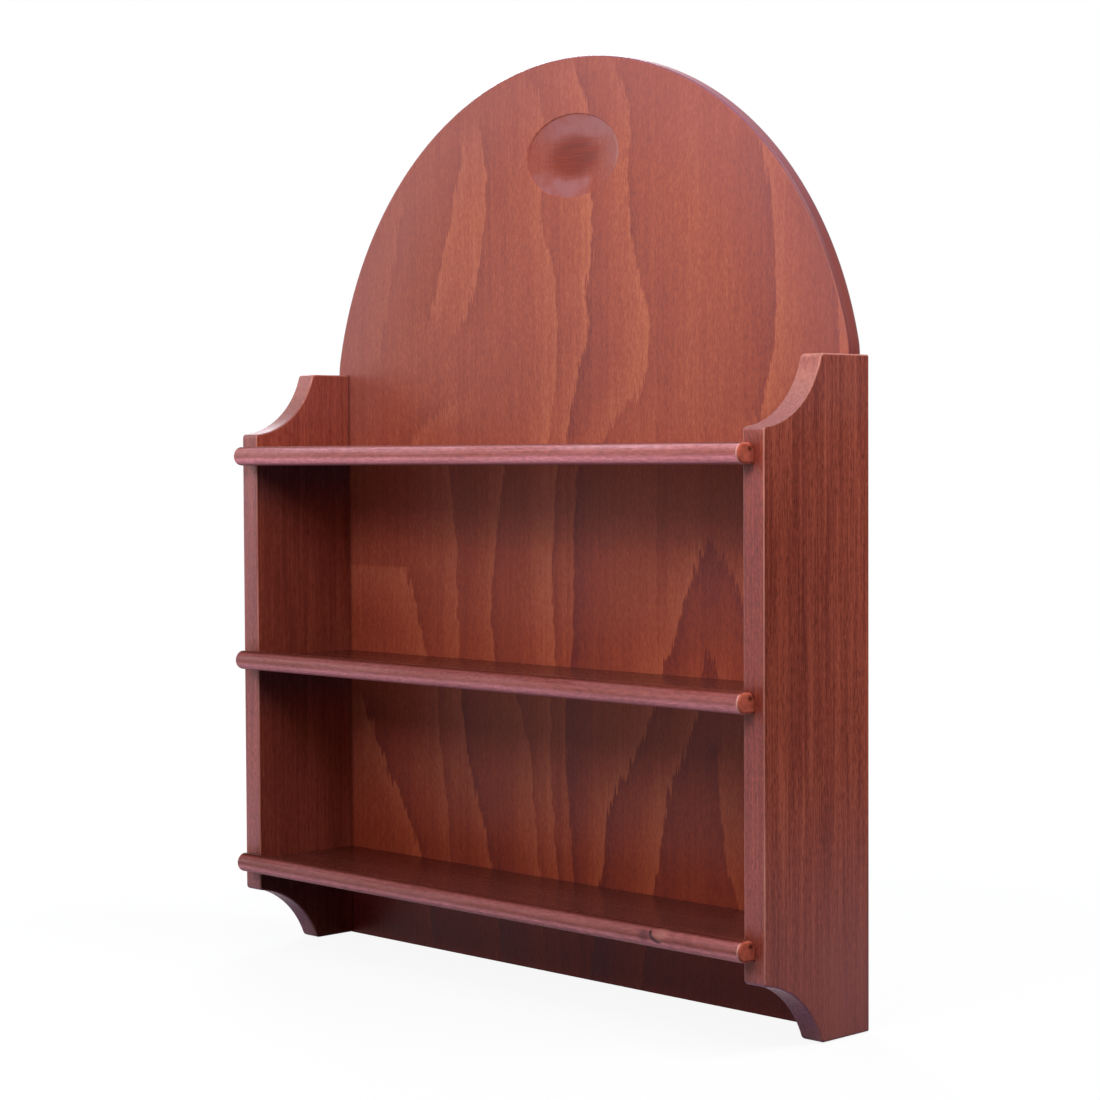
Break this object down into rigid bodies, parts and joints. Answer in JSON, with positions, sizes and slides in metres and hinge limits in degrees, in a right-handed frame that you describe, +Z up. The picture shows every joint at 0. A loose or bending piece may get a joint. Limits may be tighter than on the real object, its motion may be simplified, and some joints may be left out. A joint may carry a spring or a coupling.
{
  "type": "trinket shelf",
  "caption": "Small wall shelf for trinkets: arched plywood back with a carved oval dish, scooped side boards and round-nosed shelves housed in them, stained red-brown.",
  "frame": {"origin": "on the wall plane, in the middle of the bottom edge of the back panel", "axes": "+X to the right of a person who faces the shelf, +Y into the wall, +Z up"},
  "size_m": [0.36, 0.0806, 0.4499],
  "materials": {
    "panel_plywood": "red-brown stain under satin lacquer, rotary-cut veneer with upright figure",
    "side_wood": "red-brown stain under satin lacquer, fine upright grain",
    "shelf_wood": "red-brown stain under satin lacquer, grain along the shelf",
    "pin_steel": "bright steel, dulled",
    "hanger_steel": "zinc-plated pressed steel",
    "screw_steel": "zinc-plated steel"
  },
  "bodies": {
    "root": {"back_panel": "panel_plywood", "left_side": "side_wood", "right_side": "side_wood", "top_shelf": "shelf_wood", "middle_shelf": "shelf_wood", "bottom_shelf": "shelf_wood", "left_side_pins": "pin_steel", "right_side_pins": "pin_steel", "top_shelf_pins": "pin_steel", "middle_shelf_pins": "pin_steel", "bottom_shelf_pins": "pin_steel", "left_hanger_plate": "hanger_steel", "right_hanger_plate": "hanger_steel", "left_hanger_screws": "screw_steel", "right_hanger_screws": "screw_steel"}
  },
  "joints": []
}
